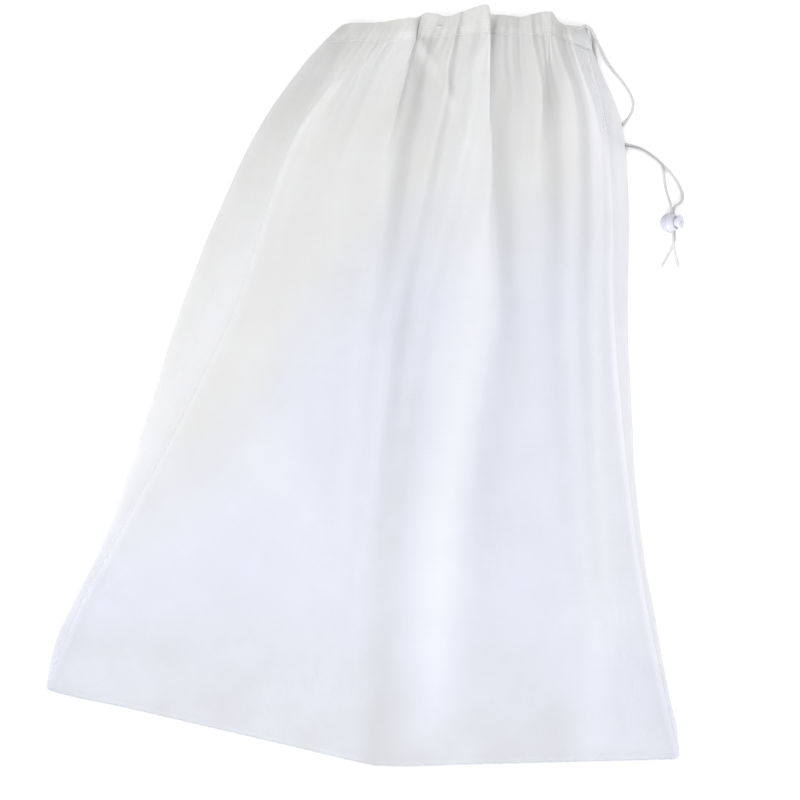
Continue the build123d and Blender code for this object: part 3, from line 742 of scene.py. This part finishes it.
def lowerSheet(u, f):
    # lower layer: flat on the table, turned up to the fold at each side, with small tucks at the mouth,
    # and held up over the cords that pass under the right edge
    x, y, xLeft, xRight, _ = outlineRow(u, f)
    edge = np.where(u < 0.5, smoothLine(lie["leftEdge"], y), smoothLine(lie["rightEdge"], y))
    toEdge = np.minimum(x - xLeft, xRight - x)
    turnedUp = np.clip(1 - toEdge / lie["turnUp"], 0, 1) ** 2
    z = lie["underside"] + (edge - lie["underside"]) * turnedUp
    mouth = ramp((np.clip(f, 0, 1) - 1 + lie["lowerMouth"]) / lie["lowerMouth"])
    raised, tuck, wave = lie["lowerTucks"]
    tucks = raised + tuck * np.sin(2 * np.pi * u * flatWidth / wave)
    z = z + mouth * ramp(toEdge / lie["turnUp"]) * tucks
    height, fromY, easing, reach = lie["overCords"]
    z = np.maximum(z, height * ramp((y - fromY) / easing) * ramp(1 - (xRight - x) / reach))
    slow = 1 + np.sin(x / 23 + y / 47) * np.sin(y / 31 - x / 61)
    z = z + lie["sway"][1] * slow * ramp(toEdge / 30)
    return np.stack([x, y, z], axis=-1), np.stack([look + 0 * x for look in lie["lowerLooks"]], axis=-1)


def makeCloth(name, points, looks, uv, turned=False):
    rows, columns = points.shape[:2]
    obj = makeMesh(
        name, points.reshape(-1, 3), gridFaces(rows, columns, turned=turned).tolist(),
        uv.reshape(-1, 2), looks,
    )
    obj.data.materials.append(panelVoile)
    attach(obj, "bag")
    return obj


def seamAcross(seam, f):
    # u where a side seam crosses each row
    _, y, xLeft, xRight, _ = outlineRow(0.02 if seam == "leftSeam" else 0.98, f)
    return np.clip((smoothLine(lie[seam], y) - xLeft) / (xRight - xLeft), 0.001, 0.999)


clothGrid = dict(
    across=300,
    along=280,
    crowding=1.35,  # rows crowd towards the casing, where the cloth is finely gathered
    under=160,  # across the lower layer
    wrap=14,  # across each side, where the lower panel comes up and over
    wrapCrowding=1.5,
)

f = np.linspace(0, 1, clothGrid["along"])[:, None]
f = 1 - (1 - f) ** clothGrid["crowding"]
uLeft, uRight = seamAcross("leftSeam", f), seamAcross("rightSeam", f)
t = np.linspace(0, 1, clothGrid["across"])[None, :]
points, looks = pleatedSheet(uLeft + (uRight - uLeft) * t, f)
uv = np.stack([t * flatWidth * mm + 0 * f, f * flatLength * mm + 0 * t], axis=-1)
frontCloth = makeCloth("frontCloth", points, looks, uv)
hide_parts("front_panel")

# the back panel starts at the left seam, goes over the left fold, under the bag, and up over the right one
w = np.linspace(0, 1, clothGrid["wrap"], endpoint=False)[None, :]
leftTurn, leftLooks = pleatedSheet(uLeft * (1 - w) ** clothGrid["wrapCrowding"], f)
rightWay = (1 - w[:, ::-1]) ** clothGrid["wrapCrowding"]
rightTurn, rightLooks = pleatedSheet(1 - (1 - uRight) * rightWay, f)
t = np.linspace(0, 1, clothGrid["under"])[None, :]
under, underLooks = lowerSheet(0.5 - 0.5 * np.cos(np.pi * t) + 0 * f, f)
points = np.concatenate([leftTurn, under, rightTurn], axis=1)
looks = np.concatenate([leftLooks, underLooks, rightLooks], axis=1)
step = np.linalg.norm(np.diff(points, axis=1), axis=-1)
run = np.cumsum(np.c_[np.zeros(len(step)), step], axis=1)
uv = np.stack([run * mm, f * flatLength * mm + 0 * run], axis=-1)
backCloth = makeCloth("backCloth", points, looks, uv, turned=True)
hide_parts("back_panel")
print("panels made")


casing = dict(
    halfThickness=2.3,
    atStitch=0.35,
    bulgeShare=0.45,  # of its width, from the stitching to full thickness
    endShare=0.06,  # each end narrows to half its thickness over this share
    aboveTable=0.25,
    rows=14,
    crowding=1.5,  # rows crowd towards the top edge
    roundness=5,  # the higher, the later and rounder it closes there
)


def casingSleeve(name, sheet, node):
    # a flattened tube round the cord: the sheet's own surface ± a, where a is thin at the stitching,
    # full over the cord, and closes as the root of 1 - v⁵ at the top edge
    rows = casing["rows"]
    v = np.linspace(0, 1, rows)[:, None]
    v = 1 - (1 - v) ** casing["crowding"]
    t = np.linspace(0, 1, clothGrid["across"])[None, :]
    middle, looks = sheet(t + 0 * v, 1 + v)
    opened = ramp(v / casing["bulgeShare"])
    bulge = casing["atStitch"] + (casing["halfThickness"] - casing["atStitch"]) * opened
    narrowed = 0.5 + 0.5 * ramp((1 - np.abs(2 * t - 1)) / casing["endShare"])
    bulge = bulge * np.sqrt(np.clip(1 - v ** casing["roundness"], 0, 1)) * narrowed
    a = bulge[..., None] * np.array([0, 0, 1.0])
    points = np.concatenate([middle + a, (middle - a)[::-1][1:]], axis=0)
    looks = np.concatenate([looks, looks[::-1][1:]], axis=0)
    points[..., 2] += max(casing["aboveTable"] - points[..., 2].min(), 0)
    turnedOver = np.linspace(0, 2 * casingLength, len(points))[:, None] * mm
    uv = np.stack([t * flatWidth * mm + 0 * turnedOver, turnedOver + 0 * t], axis=-1)
    faces = gridFaces(*points.shape[:2], closedRows=True)
    obj = makeMesh(name, points.reshape(-1, 3), faces.tolist(), uv.reshape(-1, 2), looks)
    obj.data.materials.append(casingVoile)
    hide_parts(node)
    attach(obj, "bag")
    return obj


frontCasing = casingSleeve("frontCasing", pleatedSheet, "front_casing")
backCasing = casingSleeve("backCasing", lowerSheet, "back_casing")
print("casing made")


stitching = dict(
    stitch=2.6,
    pitch=3.2,
    thread=0.5,
    proud=0.15,  # a stitch above the cloth
    casingProud=0.5,
    tape=6.0,  # width of a seam allowance
    tapeThickness=0.5,
    tapeBelow=0.7,  # it hangs inside the bag
    tapeLooks=(0.0, 0.3),  # its gather and slack
    rows=260,
    casingRows=700,
    inset=0.004,  # share of a seam left free at its ends
    casingInset=0.01,
    casingRow=1.04,  # where the row lies, on the scale that is 1 at the casing's lower edge, 2 at its top
)


def seamTape(name, node, points):
    # rows of points on the cloth, across the strip, hung a little below it, with Solidify for its layers
    rows, columns = points.shape[:2]
    points = points - [0, 0, stitching["tapeBelow"]]
    points[..., 2] = np.maximum(points[..., 2], stitching["tapeThickness"])
    run = np.linspace(0, flatLength, rows)[:, None] * mm
    across = np.linspace(0, stitching["tape"], columns)[None, :] * mm
    uv = np.stack([across + 0 * run, run + 0 * across], axis=-1)
    obj = makeMesh(
        name, points.reshape(-1, 3), gridFaces(rows, columns).tolist(), uv.reshape(-1, 2),
        np.tile(stitching["tapeLooks"], (rows * columns, 1)),
    )
    obj.data.materials.append(seamVoile)
    solid = obj.modifiers.new("layers", "SOLIDIFY")
    solid.thickness = stitching["tapeThickness"] * mm
    solid.offset = -1
    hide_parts(node)
    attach(obj, "bag")
    return obj


def evenly(line, pitch):
    # points pitch apart along a line
    run = np.r_[0, np.cumsum(np.linalg.norm(np.diff(line, axis=0), axis=1))]
    at = np.arange(pitch / 2, run[-1], pitch)
    return np.stack([np.interp(at, run, line[:, k]) for k in range(3)], axis=1)


def stitchRow(name, node, line):
    # one small ellipsoid for each stitch, long along the line: centre + on cos b L/2 + ring sin b r
    centre = evenly(line, stitching["pitch"])
    on, aside, up = framesAlong(centre, (0, 0, 1))
    b = np.linspace(0, np.pi, 6)[1:-1]
    a = np.linspace(0, 2 * np.pi, 6, endpoint=False)
    length = np.cos(b)[:, None] * stitching["stitch"] / 2 + 0 * a
    side = np.sin(b)[:, None] * np.cos(a) * stitching["thread"] / 2
    high = np.sin(b)[:, None] * np.sin(a) * stitching["thread"] / 2
    local = np.stack([length, side, high], axis=-1).reshape(-1, 3)
    axes = np.stack([on, aside, up], axis=1)
    points = centre[:, None] + np.einsum("vk,skc->svc", local, axes)
    faces = gridFaces(4, 6, closedColumns=True).tolist() + [[5, 4, 3, 2, 1, 0], [18, 19, 20, 21, 22, 23]]
    every = [[c + len(local) * k for c in face] for k in range(len(centre)) for face in faces]
    obj = makeMesh(name, points.reshape(-1, 3), every)
    obj.data.materials.append(sewingThread)
    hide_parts(node)
    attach(obj, "bag")
    return obj


f = np.linspace(stitching["inset"], 1, stitching["rows"])[:, None]
share = np.linspace(0, 1, 7)[None, :]
for side, way in (("left", 1), ("right", -1)):
    uSeam = seamAcross(side + "Seam", f)
    _, _, xLeft, xRight, _ = outlineRow(uSeam, f)
    tapeWidth = way * stitching["tape"] / (xRight - xLeft)
    points = pleatedSheet(uSeam + tapeWidth * share, f)[0]
    seamTape(side + "SeamTape", side + "_side_seam", points)
    stitchRow(side + "Stitches", side + "_seam_thread", points[:, 0] + [0, 0, stitching["proud"]])
u = np.linspace(stitching["inset"], 1 - stitching["inset"], stitching["rows"])[:, None]
points = pleatedSheet(u, 0.001 + stitching["tape"] / flatLength * share)[0]
seamTape("hemTape", "bottom_seam", points)
stitchRow("hemStitches", "bottom_seam_thread", points[:, 1] + [0, 0, stitching["proud"]])
u = np.linspace(stitching["casingInset"], 1 - stitching["casingInset"], stitching["casingRows"])[None, :]
for side, sheet, way in (("front", pleatedSheet, 1), ("back", lowerSheet, -1)):
    line = sheet(u, stitching["casingRow"] + 0 * u)[0][0] + [0, 0, way * stitching["casingProud"]]
    stitchRow(side + "CasingStitches", side + "_casing_thread", line)
print("seams made")


studio = dict(
    world=1.24,
    key=272.0,  # watts
    keyPlace=(-1.7, -4.5, 3.1),  # low and from the hem's side, a little to the left, in metres
    keySize=2.2,
    keyColour="#fefeff",
    tableSize=12,
)
bpy.ops.mesh.primitive_plane_add(size=studio["tableSize"])
table = bpy.context.object
table.name = "paleTable"
table.data.materials.append(plainSolid("paleMattTable", "#fbfbfb", "#f9f9f9", 0.9, 1.45, 60, 0.02))

world = bpy.data.worlds.new("paleStudio")
world.use_nodes = True
world.node_tree.nodes["Background"].inputs["Color"].default_value = (1, 1, 1, 1)
world.node_tree.nodes["Background"].inputs["Strength"].default_value = studio["world"]
scene.world = world


def softBox(name, place, aim, size, power, colour):
    # a round lamp that faces aim: tipped by the angle from straight down, then turned towards it
    light = bpy.data.lights.new(name, "AREA")
    light.shape = "DISK"
    light.size = size
    light.energy = power
    light.color = linearColour(colour)[:3]
    obj = bpy.data.objects.new(name, light)
    obj.location = place
    way = np.array(aim) - np.array(place)
    tipped = math.atan2(math.hypot(way[0], way[1]), -way[2])
    obj.rotation_euler = (0, tipped, math.atan2(-way[1], -way[0]))
    scene.collection.objects.link(obj)


softBox("keyLight", studio["keyPlace"], (0, 0, 0), studio["keySize"], studio["key"], studio["keyColour"])
scene.view_settings.view_transform = "Standard"
scene.view_settings.look = "None"
print("studio lit")
